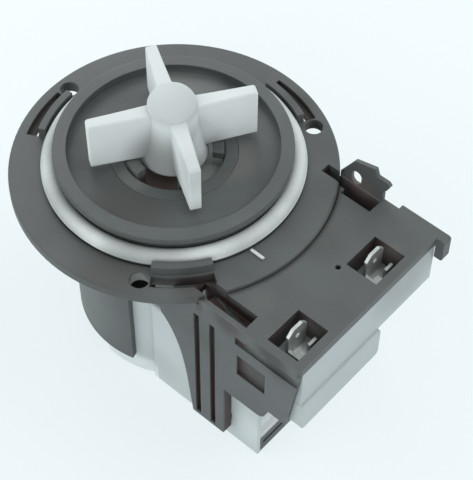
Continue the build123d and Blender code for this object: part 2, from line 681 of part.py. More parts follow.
def stator_core():
    """Stacked iron: a pole on each side of the rotor can, joined by a thin bridge, and two legs."""
    shape = rod(core_r, core_bottom, CORE_TOP)
    shape -= span(CORE_POLE_X, core_r + OVERRUN, -core_r, core_r, core_bottom - OVERRUN, CORE_TOP + OVERRUN)
    for side in sides:
        shape += span(0, LEG_END_X, side * leg_in_y, side * leg_out_y, core_bottom, CORE_TOP)
    shape -= span(0, core_r + OVERRUN, -leg_in_y, leg_in_y, core_bottom - OVERRUN, CORE_TOP + OVERRUN)
    shape -= rod(core_bore_r, core_bottom - OVERRUN, CORE_TOP + OVERRUN)
    for side in sides:
        deg = side * 90 - POLE_STEP_DEG
        shape -= sector(core_bore_r + POLE_STEP_DEPTH, core_bore_r - SEAT_GAP, deg - POLE_STEP_DEG, deg,
                        core_bottom - OVERRUN, CORE_TOP + OVERRUN)
    shape -= span(-(core_r - POLE_BRIDGE_T), -CORE_POLE_X, -POLE_SLOT_W / 2, POLE_SLOT_W / 2,
                  core_bottom - OVERRUN, CORE_TOP + OVERRUN)
    for x, y in rivet_places()[:2]:
        shape -= rod(rivet_r + PRESS_GAP, core_bottom - OVERRUN, CORE_TOP + OVERRUN, x, y)
    return shape


def rivet_places():
    pole_r = (core_bore_r + core_r) / 2
    poles = [polar(pole_r, side * POLE_RIVET_DEG) for side in sides]
    yoke = [((yoke_x0 + yoke_x1) / 2, side * leg_y) for side in sides]
    return poles + yoke


def core_yoke():
    """The iron bar across the ends of the legs, with grooves between bundles of sheets."""
    shape = span(yoke_x0, yoke_x1, -yoke_y, yoke_y, core_bottom, CORE_TOP)
    step = CORE_H / (LAMINATION_GROOVES + 1)
    for n in range(LAMINATION_GROOVES):
        z = CORE_TOP - step * (n + 1)
        shape -= span(yoke_x1 - LAMINATION_GROOVE, yoke_x1 + OVERRUN, -yoke_y - OVERRUN, yoke_y + OVERRUN,
                      z - LAMINATION_GROOVE / 2, z + LAMINATION_GROOVE / 2)
    for x, y in rivet_places()[2:]:
        shape -= rod(rivet_r + PRESS_GAP, core_bottom - OVERRUN, CORE_TOP + OVERRUN, x, y)
    return shape


def core_rivets():
    """Two through the poles and two through the yoke, which the keeper covers."""
    rivets = []
    for n, (x, y) in enumerate(rivet_places()):
        shank = rod(rivet_r, core_bottom, CORE_TOP, x, y)
        if n < 2:
            shank += rod(rivet_r * RIVET_HEAD_SHARE, core_bottom - RIVET_HEAD_H, core_bottom, x, y)
            shank += rod(rivet_r * RIVET_HEAD_SHARE, CORE_TOP, CORE_TOP + RIVET_HEAD_H, x, y)
        rivets.append(shank)
    return Compound(rivets)


def yoke_keeper():
    """Dark strip that closes the moulding's slot under the yoke."""
    z0 = mould_bottom + SEAT_GAP
    shape = span(yoke_x0, yoke_x1 - SEAT_GAP, -yoke_y, yoke_y, z0, core_bottom - SEAT_GAP)
    mid = (z0 + core_bottom) / 2
    return shape - span(yoke_x1 - KEEPER_GROOVE, yoke_x1 + OVERRUN, -yoke_y + MOULD_WALL, yoke_y - MOULD_WALL,
                        mid - KEEPER_GROOVE, mid + KEEPER_GROOVE)


def coil_moulding():
    """Pale shell round both coils, with arc walls beside the poles and a slot for the yoke."""
    body = span(MOULD_X0, yoke_x1, -mould_y, mould_y, mould_bottom, mould_top)
    body = fillet(body.edges().filter_by(Axis.X), MOULD_EDGE_R)
    low, high = mould_bottom - OVERRUN, mould_top + OVERRUN
    arc_in = mould_arc_r - MOULD_ARC_T
    arc_start = degrees(acos(MOULD_X0 / mould_arc_r)) - MOULD_ARC_LAP_DEG
    for side in sides:
        deg0, deg1 = sorted((side * arc_start, side * MOULD_ARC_DEG))
        body += sector(mould_arc_r, arc_in, deg0, deg1, mould_bottom + MOULD_EDGE_R, mould_top)
        web = span(MOULD_X0, MOULD_X0 + MOULD_ARC_T, side * leg_out_y, side * mould_arc_r,
                   mould_bottom + MOULD_EDGE_R, mould_top)
        body += web & rod(mould_arc_r, mould_bottom, mould_top)
    pole_room = span(-core_r, CORE_POLE_X + SEAT_GAP, -mould_arc_r, mould_arc_r, low, high)
    body -= rod(arc_in, low, high) & pole_room
    body -= rod(core_bore_r, low, high)
    body -= span(yoke_x0 - SEAT_GAP, yoke_x1 + OVERRUN, -yoke_y - SEAT_GAP, yoke_y + SEAT_GAP, low,
                 CORE_TOP + SEAT_GAP)
    half_z = mould_half_z - MOULD_WALL
    y_in = leg_y - bobbin_half_y - SEAT_GAP
    notch_z = LEG_BOTTOM + BARB_RISE
    for side in sides:
        body -= span(bobbin_x0 - SEAT_GAP, bobbin_x1 + SEAT_GAP, side * y_in,
                     side * (mould_y - MOULD_WALL), core_mid_z - half_z, core_mid_z + half_z)
        body -= span(0, yoke_x0, side * (leg_in_y - SEAT_GAP), side * (leg_out_y + SEAT_GAP),
                     core_bottom - SEAT_GAP, CORE_TOP + SEAT_GAP)
        body -= rod(LEAD_R + SEAT_GAP, core_mid_z, high, lead_x(), side * leg_y)
        body -= span(LEG_X0 - SEAT_GAP, leg_x1 + SEAT_GAP, side * (mould_y - BARB_DEPTH),
                     side * (mould_y + OVERRUN), notch_z - SEAT_GAP, notch_z + BARB_H + SEAT_GAP)
    return body - link_rod(LINK_R + SEAT_GAP, SEAT_GAP)


def link_rod(r, lap):
    """A rod along Y between the two windings, longer by a lap at each end."""
    half = leg_y - bobbin_half_y + lap
    return at((bobbin_x0 + bobbin_x1) / 2, 0, core_mid_z) * Rot(90, 0, 0) * Cylinder(r, half * 2)


def bobbin(side):
    z0, z1 = core_bottom - SEAT_GAP * 2 - BOBBIN_WALL, CORE_TOP + SEAT_GAP * 2 + BOBBIN_WALL
    half = LEG_W / 2 + SEAT_GAP * 2 + BOBBIN_WALL
    y = side * leg_y
    shape = span(bobbin_x0, bobbin_x1, y - half, y + half, z0, z1)
    for x0 in (bobbin_x0, bobbin_x1 - BOBBIN_FLANGE_T):
        cheek = span(x0, x0 + BOBBIN_FLANGE_T, y - bobbin_half_y, y + bobbin_half_y,
                     core_mid_z - BOBBIN_FLANGE_Z, core_mid_z + BOBBIN_FLANGE_Z)
        shape += fillet(cheek.edges().filter_by(Axis.X), MOULD_EDGE_R)
    inner = half - BOBBIN_WALL
    return shape - span(bobbin_x0 - OVERRUN, bobbin_x1 + OVERRUN, y - inner, y + inner,
                        z0 + BOBBIN_WALL, z1 - BOBBIN_WALL)


def winding(side):
    """The wire pack on a bobbin, with rounded corners and a layer groove round its middle."""
    y = side * leg_y
    half_y, half_z = bobbin_half_y - WINDING_INSET, BOBBIN_FLANGE_Z - WINDING_INSET
    x0, x1 = bobbin_x0 + BOBBIN_FLANGE_T + PRESS_GAP, bobbin_x1 - BOBBIN_FLANGE_T - PRESS_GAP
    pack = span(x0, x1, y - half_y, y + half_y, core_mid_z - half_z, core_mid_z + half_z)
    pack = fillet(pack.edges().filter_by(Axis.X), MOULD_EDGE_R * 2)
    inner_y = LEG_W / 2 + SEAT_GAP * 2 + BOBBIN_WALL + PRESS_GAP
    inner_z = CORE_H / 2 + SEAT_GAP * 2 + BOBBIN_WALL + PRESS_GAP
    return pack - span(x0 - OVERRUN, x1 + OVERRUN, y - inner_y, y + inner_y, core_mid_z - inner_z,
                       core_mid_z + inner_z)


def coil_link():
    """The wire that joins the inner sides of the two windings."""
    return link_rod(LINK_R, WINDING_INSET - PRESS_GAP)


def lead_x():
    return bobbin_x0 + BOBBIN_FLANGE_T + LEAD_INSET


def tab_places(n):
    return pocket_x - TAB_BACK, pocket_ys[n] + TAB_SIDE


def lead(n):
    """A winding's lead: up out of the moulding, along under the cover, into the terminal block."""
    side = sides[n]
    start_z = core_mid_z + BOBBIN_FLANGE_Z - WINDING_INSET + PRESS_GAP
    run_z = (mould_top + deck_bottom) / 2
    _, tab_y = tab_places(n)
    points = [(lead_x(), side * leg_y, start_z), (lead_x(), side * leg_y, run_z),
              (block_x0 - LEAD_BEND_R * 2, tab_y, run_z), (lead_end_x(), tab_y, run_z)]
    path = FilletPolyline(*points, radius=LEAD_BEND_R)
    profile = Plane(origin=points[0], z_dir=(0, 0, 1)) * Circle(LEAD_R)
    return sweep(profile, path=path)


def lead_end_x():
    return pocket_x - TAB_BACK - TAB_T / 2 - PRESS_GAP


def terminal(n):
    """A 6.3 mm spade tab: pointed blade, root, foot, wire lug and crimp curl."""
    x, y = tab_places(n)
    foot_z = pocket_floor + SEAT_GAP
    half = TAB_W / 2
    outline = Polyline((y - half, foot_z), (y + half, foot_z), (y + half, TAB_TOP - TAB_POINT),
                       (y + half - TAB_POINT, TAB_TOP), (y - half + TAB_POINT, TAB_TOP),
                       (y - half, TAB_TOP - TAB_POINT), close=True)
    blade = extrude(Plane.YZ * make_face(outline), TAB_T / 2, both=True)
    blade = at(x, 0, 0) * blade
    blade -= at(x, y, TAB_TOP - TAB_POINT * 2) * Rot(0, 90, 0) * Cylinder(TAB_HOLE_R, TAB_T + OVERRUN)
    root = span(x - TAB_T / 2, x + TAB_T / 2, y - TAB_ROOT_W / 2, y + TAB_ROOT_W / 2,
                foot_z - TAB_ROOT_DEPTH, foot_z + SEAT_GAP)
    foot = span(x - TAB_T / 2, x + TAB_FOOT_X, y - half, y + half, foot_z, foot_z + TAB_T)
    lug_x = x + TAB_FOOT_X
    lug = span(lug_x - TAB_T, lug_x, y + half - HOOK_LUG_W, y + half, foot_z, foot_z + HOOK_LUG_H)
    curl_x = x + TAB_T / 2
    curl = span(curl_x, lug_x, y - half, y - half + TAB_T, foot_z, foot_z + CURL_H)
    curl += span(lug_x - CURL_W, lug_x, y - half, y - half + CURL_LIP, foot_z + CURL_H - TAB_T,
                 foot_z + CURL_H)
    return blade + root + foot + lug + curl


def terminal_block():
    """Pale carrier under the plate's far end, with a high and a low bottom level."""
    high = span(deck_end_x + SEAT_GAP, plate_end_x, -block_y, block_y, BLOCK_HIGH_Z, block_top)
    low = span(yoke_x1 + SEAT_GAP, plate_end_x + BLOCK_LIP, -block_y, BLOCK_STEP_Y, BLOCK_LOW_Z, BLOCK_HIGH_Z)
    low = fillet(low.edges().filter_by(Axis.X), BLOCK_EDGE_R)
    low += span(yoke_x1 + SEAT_GAP, plate_end_x, -block_y + BLOCK_EDGE_R, BLOCK_STEP_Y - BLOCK_EDGE_R,
                BLOCK_HIGH_Z - BLOCK_EDGE_R, BLOCK_HIGH_Z + SEAT_GAP)
    shape = high + low
    shape += span(block_x0, yoke_x1 + SEAT_GAP * 2, -block_y + MOULD_WALL, block_y - MOULD_WALL,
                  mould_top + SEAT_GAP, BLOCK_HIGH_Z + SEAT_GAP)
    for n, y in enumerate(pocket_ys):
        tab_x, tab_y = tab_places(n)
        shape -= pocket_cut(y, -shroud_t - SEAT_GAP, pocket_floor, block_top + OVERRUN)
        shape -= span(tab_x - TAB_T / 2 - PRESS_GAP, tab_x + TAB_T / 2 + PRESS_GAP,
                      tab_y - TAB_ROOT_W / 2 - PRESS_GAP, tab_y + TAB_ROOT_W / 2 + PRESS_GAP,
                      pocket_floor - TAB_ROOT_DEPTH, pocket_floor + OVERRUN)
        run_z = (mould_top + deck_bottom) / 2
        start_x, end_x = block_x0 - OVERRUN, lead_end_x() + SEAT_GAP
        channel = Rot(0, 90, 0) * Cylinder(LEAD_R + SEAT_GAP, end_x - start_x)
        shape -= at((start_x + end_x) / 2, tab_y, run_z) * channel
    return shape


def gusset_outline(x_end):
    width, height = LEG_X0 - GUSSET_X, deck_top - LEG_BOTTOM
    edge = [(GUSSET_X + width * across, deck_top - height * down) for across, down in GUSSET_SHARES]
    curve = Polyline((x_end, deck_top), (GUSSET_X, deck_top), edge[0])
    curve += Spline(*edge)
    curve += Polyline(edge[-1], (LEG_X0, LEG_BOTTOM), (x_end, LEG_BOTTOM), (x_end, deck_top))
    return curve


def side_wall(side):
    """Gusset, ribbed leg and the wall with the latch tongue beside the terminal block."""
    y0, y1 = side * wall_in_y, side * PLATE_Y
    shape = side_profile(gusset_outline(LEG_X0 + WALL_T), y0, y1)
    leg = span(LEG_X0, leg_x1, side * leg_in_face, y1, LEG_BOTTOM, deck_bottom + SEAT_GAP)
    shape += leg
    for x in (GROOVE_NEAR_X, GROOVE_FAR_X):
        shape -= span(x - GROOVE_W / 2, x + GROOVE_W / 2, side * (PLATE_Y - GROOVE_DEPTH),
                      side * (PLATE_Y + OVERRUN), LEG_BOTTOM + GROOVE_OPEN, GROOVE_TOP)
    barb_z = LEG_BOTTOM + BARB_RISE
    barb_face = leg_in_face - BARB_DEPTH + SEAT_GAP
    outline = Polyline((side * (leg_in_face + SEAT_GAP), barb_z), (side * barb_face, barb_z + BARB_H),
                       (side * (leg_in_face + SEAT_GAP), barb_z + BARB_H), close=True)
    barb = extrude(Plane.YZ * make_face(outline), leg_x1 - LEG_X0)
    barb = at(LEG_X0, 0, 0) * barb
    shape += barb
    tongue_x = side_low_x - TONGUE_R
    side_mid_z = side_mid_zs[sides.index(side)]
    side_low_z = side_mid_z - TONGUE_DROP
    outline = Polyline((leg_x1 - SEAT_GAP, plate_bottom + SEAT_GAP),
                       (plate_end_x, plate_bottom + SEAT_GAP), (side_foot_x, side_mid_z),
                       (side_low_x, side_mid_z), (side_low_x, side_low_z + TONGUE_R))
    outline += ThreePointArc((side_low_x, side_low_z + TONGUE_R),
                             (tongue_x + TONGUE_R * sqrt(1 / 2), side_low_z + TONGUE_R * (1 - sqrt(1 / 2))),
                             (tongue_x, side_low_z))
    outline += Polyline((tongue_x, side_low_z), (leg_x1 - SEAT_GAP, side_low_z),
                        (leg_x1 - SEAT_GAP, plate_bottom + SEAT_GAP))
    wall = side_profile(outline, y0, y1)
    if side < 0:
        wall -= span(recess_x0, recess_x1, side * (wall_in_y + RECESS_WEB_T), side * (PLATE_Y + OVERRUN),
                     RECESS_BOTTOM, RECESS_TOP)
    wall -= span(BAND_X0, plate_end_x + OVERRUN, side * (PLATE_Y - BAND_DEPTH), side * (PLATE_Y + OVERRUN),
                 BAND_TOP - BAND_H, BAND_TOP)
    return shape + wall


def cover_plate():
    """Deck under the flange, the plate past the flange's edge and the far step at the back."""
    deck = rod(deck_r, deck_bottom, deck_top)
    deck += span(0, deck_end_x, -PLATE_Y, PLATE_Y, deck_bottom, deck_top)
    plate = span(0, plate_end_x, -PLATE_Y, PLATE_Y, plate_bottom, PLATE_TOP)
    plate += span(PLATE_STEP_X, plate_end_x, 0, plate_step_y, plate_bottom, PLATE_TOP)
    plate = fillet(plate.edges().filter_by(Axis.Z).group_by(Axis.X)[-1], PLATE_CORNER_R)
    plate -= rod(flange_r + ARC_GAP, plate_bottom - OVERRUN, PLATE_TOP + OVERRUN)
    return deck + plate


def ear():
    """Upright plate behind the back slot: a sloped start, a rising top, a stepped tip and a tall hole."""
    tip_top = ear_high - EAR_STEP
    tip_low = tip_top - EAR_TIP_H
    neck_x = ear_x1 - EAR_NECK_IN
    outline = Polyline((EAR_X0, deck_top), (EAR_X0, PLATE_TOP), (EAR_X0 + EAR_SLOPE, EAR_TOP),
                       (ear_step_x, ear_high), (ear_step_x + EAR_CUT, tip_top),
                       (ear_x1 - EAR_CUT, tip_top), (ear_x1, tip_top - EAR_CUT),
                       (ear_x1 - EAR_CUT, tip_low), (neck_x, tip_low - EAR_CUT), (neck_x, deck_top),
                       close=True)
    plate = side_profile(outline, PLATE_Y - EAR_T, PLATE_Y)
    hole = extrude(SlotOverall(EAR_HOLE_H, EAR_HOLE_W), EAR_T * 2, both=True)
    hole = at(ear_hole_x, PLATE_Y, EAR_HOLE_Z) * Rot(90, 0, 0) * Rot(0, 0, 90) * hole
    return plate - hole - rod(flange_r + ARC_GAP, deck_top, ear_high + OVERRUN)


def corner_lug():
    lug = span(plate_end_x - PLATE_CORNER_R, plate_end_x + CORNER_LUG_REACH,
               plate_step_y - CORNER_LUG_W, plate_step_y, CORNER_LUG_BOTTOM, PLATE_TOP)
    lug -= span(0, plate_end_x, 0, plate_step_y + OVERRUN, CORNER_LUG_BOTTOM - OVERRUN, plate_bottom)
    return fillet(lug.edges().filter_by(Axis.Y).group_by(Axis.X)[-1], CORNER_LUG_R)


def motor_cover():
    shape = cover_plate()
    for side in sides:
        shape += side_wall(side)
    skirt = sector(SKIRT_R, SKIRT_R - SKIRT_T, SKIRT_END_DEG, 360 - SKIRT_END_DEG, SKIRT_BOTTOM,
                   deck_bottom + SEAT_GAP)
    shape += skirt + ear() + corner_lug()
    shape -= rod(can_r + SEAT_GAP, deck_bottom - OVERRUN, deck_top + OVERRUN)
    for side in sides:
        shape -= slot_cut(side, deck_bottom - OVERRUN, PLATE_TOP + OVERRUN)
    for y in pocket_ys:
        shape += pocket_cut(y, -shroud_t, pocket_floor + SEAT_GAP, plate_bottom + SEAT_GAP)
    for y in pocket_ys:
        shape -= pocket_cut(y, 0, pocket_floor, PLATE_TOP + OVERRUN)
    shape -= rod(PIP_R, plate_bottom - OVERRUN, PLATE_TOP + OVERRUN, PIP_X, PIP_Y)
    for deg in HOOK_DEGS:
        half = HOOK_W / 2 + SEAT_GAP
        window = span(hook_r - SEAT_GAP, hook_r + HOOK_T + SEAT_GAP, -half, half,
                      deck_bottom - OVERRUN, deck_top + OVERRUN)
        shape -= Rot(0, 0, deg) * window
    return shape


pieces = {
    "pump_head": pump_head(),
    "motor_cover": motor_cover(),
    "plug_seal": plug_seal(),
    "front_bearing_cap": front_bearing_cap(),
    "cap_ring": cap_ring(),
    "shaft_seal": shaft_seal(),
    "front_bush": bush(front_bush_low, FRONT_SEAT_TOP),
    "front_bush_seat": bush_seat(front_seat_low, FRONT_SEAT_TOP),
    "rear_bush": bush(can_floor + SEAT_GAP, rear_bush_top),
    "rear_bush_seat": bush_seat(can_floor, rear_bush_top - SEAT_STEP),
    "front_thrust_washer": washer(front_washer_top - WASHER_T),
    "rear_thrust_washer": washer(rear_washer_low),
    "rotor_shaft": rotor_shaft(),
    "rotor_magnet": rotor_magnet(),
    "magnet_carrier": magnet_carrier(),
    "drive_dog": drive_dog(),
    "impeller": impeller(),
    "impeller_retainer": impeller_retainer(),
    "stop_bumpers": stop_bumpers(),
    "stator_core": stator_core(),
    "core_yoke": core_yoke(),
    "core_rivets": core_rivets(),
    "yoke_keeper": yoke_keeper(),
    "coil_moulding": coil_moulding(),
    "front_bobbin": bobbin(sides[0]),
    "back_bobbin": bobbin(sides[1]),
    "front_winding": winding(sides[0]),
    "back_winding": winding(sides[1]),
    "coil_link": coil_link(),
    "front_lead": lead(0),
    "back_lead": lead(1),
    "terminal_block": terminal_block(),
    "front_terminal": terminal(0),
    "back_terminal": terminal(1),
}

for name, piece in pieces.items():
    export_step(piece, f"parts/{name}.step")
    print(name, round(piece.volume, 1))
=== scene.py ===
import math

import bpy
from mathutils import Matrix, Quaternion, Vector


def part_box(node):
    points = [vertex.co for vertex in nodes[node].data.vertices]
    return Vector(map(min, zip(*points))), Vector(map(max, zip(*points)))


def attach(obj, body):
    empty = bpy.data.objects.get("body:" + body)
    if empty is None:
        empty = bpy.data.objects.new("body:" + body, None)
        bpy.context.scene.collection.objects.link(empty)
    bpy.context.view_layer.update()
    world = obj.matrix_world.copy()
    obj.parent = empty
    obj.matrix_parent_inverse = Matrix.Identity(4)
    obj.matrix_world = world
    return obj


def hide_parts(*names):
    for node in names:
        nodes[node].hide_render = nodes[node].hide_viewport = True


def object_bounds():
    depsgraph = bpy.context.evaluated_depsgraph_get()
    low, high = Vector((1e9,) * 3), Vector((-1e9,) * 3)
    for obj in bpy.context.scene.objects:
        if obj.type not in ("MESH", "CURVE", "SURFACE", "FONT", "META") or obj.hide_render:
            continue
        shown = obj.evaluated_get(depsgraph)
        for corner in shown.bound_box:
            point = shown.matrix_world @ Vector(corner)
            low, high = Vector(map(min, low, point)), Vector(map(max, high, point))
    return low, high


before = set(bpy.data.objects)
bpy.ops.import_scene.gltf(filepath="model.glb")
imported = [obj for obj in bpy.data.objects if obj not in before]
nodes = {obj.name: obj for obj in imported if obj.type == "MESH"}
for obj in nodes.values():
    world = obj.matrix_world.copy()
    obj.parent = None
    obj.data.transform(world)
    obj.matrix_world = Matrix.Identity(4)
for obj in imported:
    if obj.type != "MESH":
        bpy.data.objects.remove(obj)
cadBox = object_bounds()
mm = 0.001
raysPerPoint = 6  # that look for worn edges and for corners that get grime and painted shade
print("frame loaded with", len(nodes), "nodes")

# the curve between a screen's colour and Blender's linear one
screenCurve = {"full": 255, "knee": 0.04045, "slope": 12.92, "lift": 0.055, "power": 2.4}


def ink(red, green, blue):
    # screen colour, 0 to 255, as Blender's linear colour
    linear = []
    for value in (red, green, blue):
        value /= screenCurve["full"]
        if value <= screenCurve["knee"]:
            linear.append(value / screenCurve["slope"])
        else:
            lifted = (value + screenCurve["lift"]) / (1 + screenCurve["lift"])
            linear.append(lifted ** screenCurve["power"])
    return (*linear, 1.0)


def at(x, y, z):
    # millimetres to metres
    return x * mm, y * mm, z * mm


def scaled(colour, factor):
    return tuple(min(1.0, v * factor) for v in colour[:3]) + (1.0,)


def emptyTree(owner):
    owner.use_nodes = True
    owner.node_tree.nodes.clear()
    return owner.node_tree


def feed(tree, socket, value):
    # a socket takes another node's output or a plain value
    if isinstance(value, bpy.types.NodeSocket):
        tree.links.new(value, socket)
    elif value is not None:
        socket.default_value = value


def addNode(tree, kind, settings=None, **sockets):
    node = tree.nodes.new(kind)
    for key, value in (settings or {}).items():
        setattr(node, key, value)
    for key, value in sockets.items():
        feed(tree, node.inputs[key], value)
    return node


def calc(tree, operation, *values):
    node = addNode(tree, "ShaderNodeMath", {"operation": operation})
    for socket, value in zip(node.inputs, values):
        feed(tree, socket, value)
    return node.outputs[0]


def times(tree, first, second):
    return calc(tree, "MULTIPLY", first, second)


def vectorCalc(tree, operation, *values):
    node = addNode(tree, "ShaderNodeVectorMath", {"operation": operation})
    for socket, value in zip(node.inputs, values):
        feed(tree, socket, value)
    return node.outputs["Value"]


def ranged(tree, value, low, high, first=0.0, last=1.0, kind="LINEAR"):
    # low to high becomes first to last, held at both ends
    bounds = {"From Min": low, "From Max": high, "To Min": first, "To Max": last}
    spread = addNode(tree, "ShaderNodeMapRange", {"interpolation_type": kind}, Value=value,
                     **bounds)
    return spread.outputs[0]


def fade(tree, value, full, none):
    # 1 where the value reaches full, 0 where it reaches none
    return ranged(tree, value, none, full, kind="SMOOTHSTEP")


def mixColour(tree, share, under, over):
    node = addNode(tree, "ShaderNodeMix", {"data_type": "RGBA"})
    # the sockets of a colour mix, whose other kinds share their names
    for index, value in ((0, share), (6, under), (7, over)):
        feed(tree, node.inputs[index], value)
    return node.outputs[2]


def newMaterial(name):
    material = bpy.data.materials.new(name)
    tree = emptyTree(material)
    out = tree.nodes.new("ShaderNodeOutputMaterial")
    shader = tree.nodes.new("ShaderNodeBsdfPrincipled")
    tree.links.new(shader.outputs["BSDF"], out.inputs["Surface"])
    coords = addNode(tree, "ShaderNodeTexCoord").outputs["Object"]
    return material, tree, shader, coords


def finishShader(tree, shader, sockets):
    for key, value in sockets.items():
        feed(tree, shader.inputs[key], value)


def stretched(tree, coords, scale):
    return addNode(tree, "ShaderNodeMapping", Vector=coords, Scale=scale).outputs[0]


def noise(tree, coords, scale, detail):
    return addNode(tree, "ShaderNodeTexNoise", Vector=coords, Scale=scale, Detail=detail).outputs[0]


def raised(tree, height, strength, distance, normal=None, sunk=False):
    bump = addNode(tree, "ShaderNodeBump", {"invert": sunk}, Strength=strength, Distance=distance,
                   Height=height, Normal=normal)
    return bump.outputs[0]


def edgeMask(tree, radius, low, high):
    # the edge-rounding normal, and 1 where it turns away from its face
    bevel = addNode(tree, "ShaderNodeBevel", {"samples": raysPerPoint}, Radius=radius).outputs[0]
    face = addNode(tree, "ShaderNodeNewGeometry").outputs["True Normal"]
    turn = vectorCalc(tree, "DOT_PRODUCT", bevel, face)
    return bevel, ranged(tree, turn, low, high, 1.0, 0.0, "SMOOTHSTEP")


def creviceShadeAndGrime(tree, reach, low, high):
    # 1 in corners and slots, 0 on open faces: where grime gathers and where shade falls, both
    #                                          painted in as a darker colour
    corner = addNode(tree, "ShaderNodeAmbientOcclusion",
                     {"samples": raysPerPoint, "only_local": True}, Distance=reach)
    return ranged(tree, corner.outputs["AO"], low, high, 1.0, 0.0)


def splitAxes(tree, coords):
    return addNode(tree, "ShaderNodeSeparateXYZ", Vector=coords).outputs


# each patch, painted light, painted shade or a stain, is measured in millimetres, and its heights
# say where it is full and where it ends
def spot(place, inner, outer, share, tint, heights=None):
    # a round patch of painted light, painted shade or a stain, full within inner of its place and
    # gone at outer

    def mask(tree, coords):
        away = vectorCalc(tree, "DISTANCE", coords, at(*place))
        covered = fade(tree, away, inner * mm, outer * mm)
        if heights:
            height = splitAxes(tree, coords)[2]
            full, none = heights
            covered = times(tree, covered, fade(tree, height, full * mm, none * mm))
        return times(tree, covered, share)

    return mask, ink(*tint)


def box(low, high, share, tint, soft=(0.05, 0.05, 0.05)):
    # a patch of painted shade or a stain inside a slot or recess, between two corners

    def mask(tree, coords):
        covered = share
        for axis, start, end, edge in zip(splitAxes(tree, coords), at(*low), at(*high), at(*soft)):
            within = times(tree, fade(tree, axis, start, start - edge),
                           fade(tree, axis, end, end + edge))
            covered = times(tree, within, covered)
        return covered

    return mask, ink(*tint)


def band(inner, outer, share, tint, heights, soft=0.05):
    # a ring round the shaft's axis between two radii

    def mask(tree, coords):
        x, y, z = splitAxes(tree, coords)
        flat = addNode(tree, "ShaderNodeCombineXYZ", X=x, Y=y).outputs[0]
        radius = vectorCalc(tree, "LENGTH", flat)
        within = times(tree, fade(tree, radius, inner * mm, (inner - soft) * mm),
                       fade(tree, radius, outer * mm, (outer + soft) * mm))
        full, none = heights
        return times(tree, times(tree, within, share), fade(tree, z, full * mm, none * mm))

    return mask, ink(*tint)


def withStainsAndPaintedLight(tree, coords, colour, look):
    for mask, tint in look.get("stainsAndPaintedLight", []):
        colour = mixColour(tree, mask(tree, coords), colour, tint)
    return colour


# what all plastics share, the looks further down say what each one has of its own
plastic = {"cloudDetail": 3.0, "cloudShare": 0.6, "flowScale": 90.0, "flowDetail": 2.0,
           "flowShare": 0.4, "mottleRange": (0.32, 0.68), "speckScale": 1900.0, "speckDetail": 2.0,
           "speckRange": (0.66, 0.76), "edgeTurn": (0.80, 0.985), "shadeAndGrimeDepth": (0.15, 0.75),
           "grainDetail": 3.0, "grainHeight": 0.05 * mm, "polishRange": (0.3, 0.7),
           "polishSpread": 0.07}


def mouldedPlastic(name, look):
    # cloudy colour from the melt, fine spark-eroded grain, rubbed pale edges, grime with painted
    # shade in corners, and patches of painted light and shade
    material, tree, shader, coords = newMaterial(name)
    cloud = noise(tree, coords, look["cloudScale"], plastic["cloudDetail"])
    flow = noise(tree, stretched(tree, coords, look["flow"]), plastic["flowScale"],
                 plastic["flowDetail"])
    speck = noise(tree, coords, plastic["speckScale"], plastic["speckDetail"])
    share = calc(tree, "MULTIPLY_ADD", cloud, plastic["cloudShare"],
                 times(tree, flow, plastic["flowShare"]))
    colour = mixColour(tree, ranged(tree, share, *plastic["mottleRange"]),
                       scaled(look["colour"], 1 - look["mottle"]),
                       scaled(look["colour"], 1 + look["mottle"]))
    dots = ranged(tree, speck, *plastic["speckRange"], last=look["speckShare"])
    colour = mixColour(tree, dots, colour, look["speck"])
    rounded, edge = edgeMask(tree, look["edgeRadius"], *plastic["edgeTurn"])
    worn = times(tree, edge, times(tree, cloud, look["edgeWear"]))
    colour = mixColour(tree, worn, colour, look["edge"])
    # corners and slots darkened: painted shade together with grime
    shadedAndGrimy = times(tree, creviceShadeAndGrime(tree, look["shadeAndGrimeReach"], *plastic["shadeAndGrimeDepth"]), look["shadeAndGrimeShare"])
    colour = mixColour(tree, shadedAndGrimy, colour, look["shadeAndGrime"])
    grain = noise(tree, coords, look["grainScale"], plastic["grainDetail"])
    finishShader(tree, shader, {
        "Base Color": withStainsAndPaintedLight(tree, coords, colour, look),
        "Normal": raised(tree, grain, look["grain"], plastic["grainHeight"], rounded),
        "Roughness": ranged(tree, flow, *plastic["polishRange"],
                            look["roughness"] - plastic["polishSpread"],
                            look["roughness"] + plastic["polishSpread"]),
        "Specular IOR Level": look["gloss"]})
    return material


rubber = {"hazeDetail": 4.0, "hazeRange": (0.35, 0.68), "pitScale": 2600.0, "pitDetail": 2.0,
          "pitRange": (0.62, 0.75), "pitShare": 0.35, "bump": 0.25, "bumpHeight": 0.04 * mm,
          "gloss": 0.3}


def softRubber(name, look):
    # dull face with talc haze and fine dark pits
    material, tree, shader, coords = newMaterial(name)
    haze = noise(tree, coords, look["hazeScale"], rubber["hazeDetail"])
    colour = mixColour(tree, ranged(tree, haze, *rubber["hazeRange"]), look["dark"], look["pale"])
    pits = noise(tree, coords, rubber["pitScale"], rubber["pitDetail"])
    pitted = ranged(tree, pits, *rubber["pitRange"], last=rubber["pitShare"])
    colour = mixColour(tree, pitted, colour, look["dark"])
    finishShader(tree, shader, {
        "Base Color": withStainsAndPaintedLight(tree, coords, colour, look),
        "Normal": raised(tree, pits, rubber["bump"], rubber["bumpHeight"]),
        "Roughness": look["roughness"],
        "Specular IOR Level": rubber["gloss"]})
    return material


metal = {"lineDetail": 3.0, "lineShare": 0.5, "lineShade": 0.72, "tarnishDetail": 4.0,
         "tarnishRange": (0.38, 0.7), "tarnishRough": 0.35, "edgeTurn": (0.80, 0.985),
         "edgeShare": 0.5, "edgeShine": 1.15, "bump": 0.2, "bumpHeight": 0.02 * mm}


